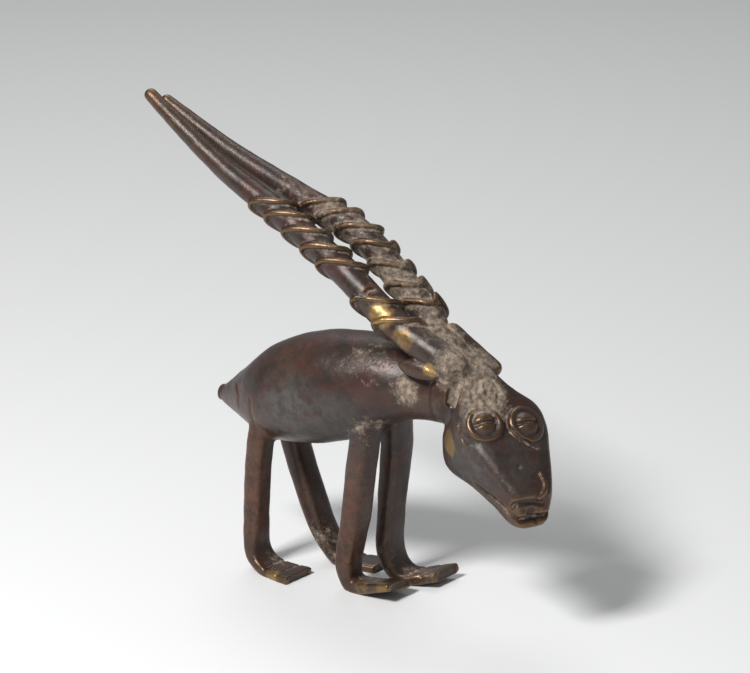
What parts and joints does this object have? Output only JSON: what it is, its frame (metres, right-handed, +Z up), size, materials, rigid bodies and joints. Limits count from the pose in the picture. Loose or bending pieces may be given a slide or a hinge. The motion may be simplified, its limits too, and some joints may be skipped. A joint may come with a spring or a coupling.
{
  "type": "akan gold weight",
  "caption": "Small cast brass figure of a standing long-horned antelope with its head turned, a counterweight for weighing gold dust.",
  "frame": {"origin": "on the ground, below the middle of the bounding box", "axes": "+X the way the body faces, +Y the animal's left, +Z up"},
  "size_m": [0.0784, 0.0196, 0.0736],
  "materials": {
    "patinated_brass": "dark brown patina, polished on worn ridges, earth in the hollows"
  },
  "bodies": {
    "root": {"antelope_goldweight": "patinated_brass"}
  },
  "joints": []
}
